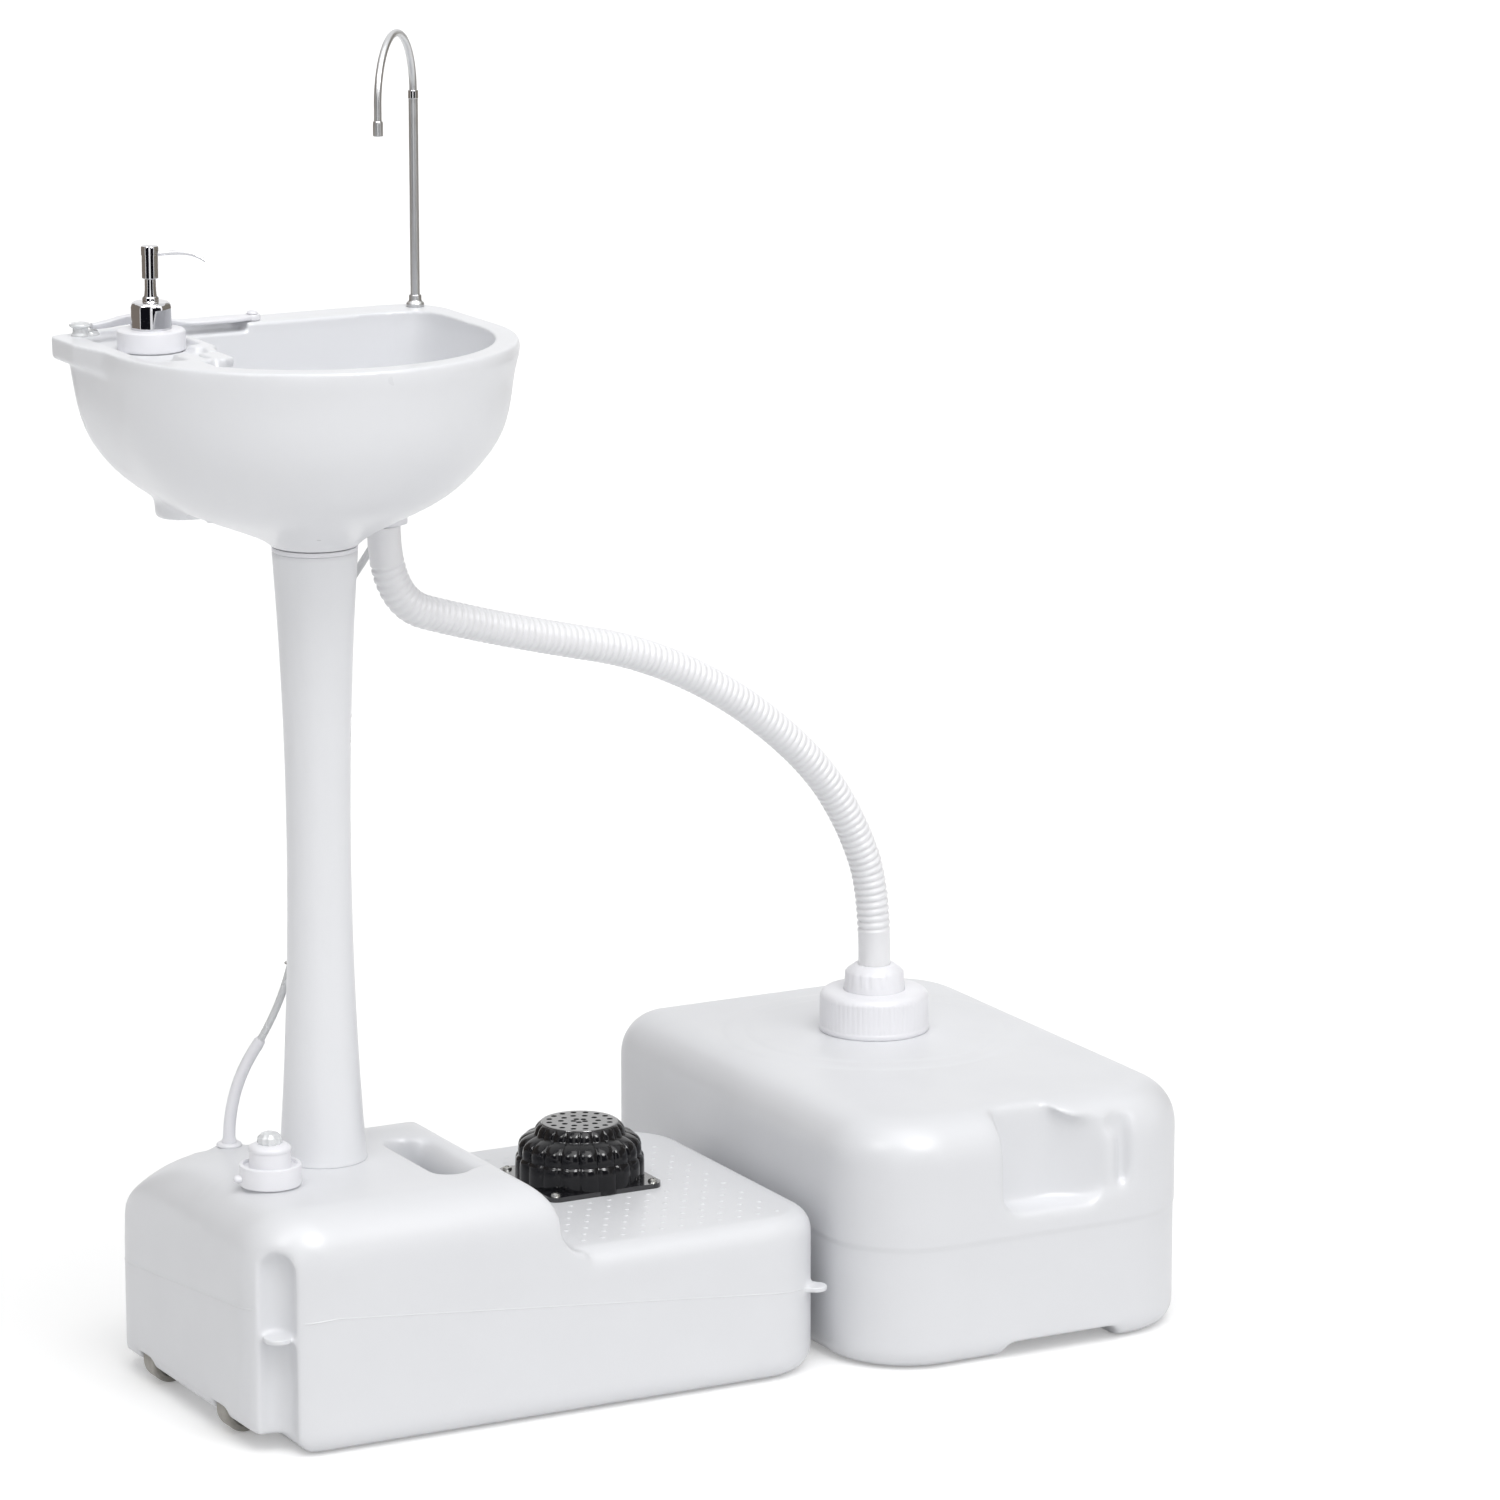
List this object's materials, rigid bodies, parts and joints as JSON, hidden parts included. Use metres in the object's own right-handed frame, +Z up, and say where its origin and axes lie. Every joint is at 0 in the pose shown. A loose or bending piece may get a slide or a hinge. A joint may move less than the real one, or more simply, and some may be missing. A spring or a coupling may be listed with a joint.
{
  "type": "portable camping sink",
  "caption": "Free-standing wash sink: basin on a waisted column over a fresh water tank with foot pump, swivel faucet, soap pump and a ribbed drain hose to a separate waste tank.",
  "frame": {"origin": "on the floor under the axis of the pedestal column", "axes": "X along the fresh tank towards the waste tank, Y to the back of the sink, Z up"},
  "size_m": [0.862, 0.454, 1.0509],
  "materials": {
    "tank_plastic": "cool white blow-moulded polyethylene, satin",
    "basin_plastic": "cool white moulded polyethylene, satin",
    "cap_plastic": "white injection-moulded polypropylene, fine satin",
    "chrome": "bright plated",
    "stainless": "drawn stainless tube",
    "steel": "zinc-plated wire and screws",
    "black_rubber": "moulded black rubber, slight sheen",
    "black_plastic": "gloss black moulded plastic",
    "clear_plastic": "clear polycarbonate",
    "hose_white": "milky white corrugated polyethylene",
    "hose_clear": "translucent PVC tube",
    "bottle_plastic": "natural white polyethylene",
    "seal_rubber": "soft grey rubber",
    "wheel_plastic": "dark grey moulded plastic"
  },
  "bodies": {
    "base": {"fresh_tank": "tank_plastic", "axle_front": "steel", "axle_rear": "steel", "pedestal": "basin_plastic", "pedestal_ring": "cap_plastic", "basin": "basin_plastic", "faucet_ferrule": "stainless", "faucet_washer": "seal_rubber", "faucet_nut": "cap_plastic", "drain_strainer": "stainless", "drain_tailpiece": "cap_plastic", "drain_gasket": "seal_rubber", "drain_nut": "cap_plastic", "drain_hose": "hose_white", "pump_flange": "black_plastic", "pump_screws": "steel", "pump_bellows": "black_rubber", "pump_spring": "steel", "valve_membrane": "seal_rubber", "pump_valve_body": "cap_plastic", "suction_tube": "hose_clear", "suction_strainer": "cap_plastic", "delivery_pipe": "hose_clear", "supply_grommet": "seal_rubber", "supply_hose": "hose_clear", "supply_sleeve": "cap_plastic", "hose_clip": "steel", "towel_pin": "cap_plastic", "towel_rest": "clear_plastic"},
    "wheel_front": {"wheel_front": "wheel_plastic"},
    "wheel_rear": {"wheel_rear": "wheel_plastic"},
    "faucet": {"faucet_riser": "stainless", "faucet_gooseneck": "stainless", "faucet_joint_ring": "stainless", "faucet_nozzle": "stainless"},
    "towel_arm": {"towel_arm": "cap_plastic"},
    "soap_bottle": {"soap_bottle": "bottle_plastic", "soap_ring": "cap_plastic", "soap_collar": "chrome", "soap_barrel": "cap_plastic", "soap_spring": "steel", "soap_dip_tube": "hose_clear"},
    "soap_stem": {"soap_stem": "chrome"},
    "soap_head": {"soap_head": "chrome"},
    "pump_pad": {"pump_pad": "black_plastic"},
    "filler_seal": {"filler_seal": "seal_rubber"},
    "filler_cap": {"filler_cap": "cap_plastic", "filler_vent": "clear_plastic"},
    "waste_tank": {"waste_tank": "tank_plastic", "waste_seal": "seal_rubber", "hose_collar": "cap_plastic"},
    "waste_slip_ring": {"waste_slip_ring": "seal_rubber"},
    "waste_cap": {"waste_cap": "cap_plastic"}
  },
  "joints": [
    {"name": "wheel_front_spin", "type": "hinge", "parent": "base", "child": "wheel_front", "pos_m": [-0.1, -0.061, 0.018], "axis": [0, 1, 0], "continuous": true},
    {"name": "wheel_rear_spin", "type": "hinge", "parent": "base", "child": "wheel_rear", "pos_m": [-0.1, 0.079, 0.018], "axis": [0, 1, 0], "continuous": true},
    {"name": "faucet_swivel", "type": "hinge", "parent": "base", "child": "faucet", "pos_m": [0.137, 0.105, 0.84], "axis": [0, 0, 1], "range_deg": [-100, 100]},
    {"name": "towel_swing", "type": "hinge", "parent": "base", "child": "towel_arm", "pos_m": [-0.004, 0.1, 0.833], "axis": [0, 0, 1], "range_deg": [-110, 0]},
    {"name": "soap_lift", "type": "slide", "parent": "base", "child": "soap_bottle", "axis": [0, 0, 1], "range_m": [0, 0.11]},
    {"name": "soap_press", "type": "slide", "parent": "soap_bottle", "child": "soap_stem", "axis": [0, 0, -1], "range_m": [0, 0.012], "stiffness_N_per_m": 400, "springref_m": -0.002, "deforming": ["soap_spring"]},
    {"name": "soap_head_turn", "type": "hinge", "parent": "soap_stem", "child": "soap_head", "pos_m": [-0.112, 0.045, 0.89], "axis": [0, 0, 1], "range_deg": [-90, 90]},
    {"name": "foot_press", "type": "slide", "parent": "base", "child": "pump_pad", "axis": [0, 0, -1], "range_m": [0, 0.025], "stiffness_N_per_m": 1500, "springref_m": -0.003, "deforming": ["pump_bellows", "pump_spring"]},
    {"name": "filler_rise", "type": "slide", "parent": "base", "child": "filler_seal", "axis": [0, 0, 1], "range_m": [0, 0.0135]},
    {"name": "filler_turn", "type": "hinge", "parent": "filler_seal", "child": "filler_cap", "pos_m": [-0.068, -0.051, 0.205], "axis": [0, 0, 1], "range_deg": [0, 810]},
    {"name": "waste_pull", "type": "slide", "parent": "base", "child": "waste_tank", "axis": [1, 0, 0], "range_m": [0, 0.08], "deforming": ["drain_hose"]},
    {"name": "waste_cap_rise", "type": "slide", "parent": "waste_tank", "child": "waste_slip_ring", "axis": [0, 0, 1], "range_m": [0, 0.009]},
    {"name": "waste_cap_turn", "type": "hinge", "parent": "waste_slip_ring", "child": "waste_cap", "pos_m": [0.54, 0.09, 0.22], "axis": [0, 0, 1], "range_deg": [0, 540]}
  ],
  "couplings": [
    {"joint": "filler_rise", "follows": "filler_turn", "m_per_rad": 0.00095493},
    {"joint": "waste_cap_rise", "follows": "waste_cap_turn", "m_per_rad": 0.00095493}
  ]
}
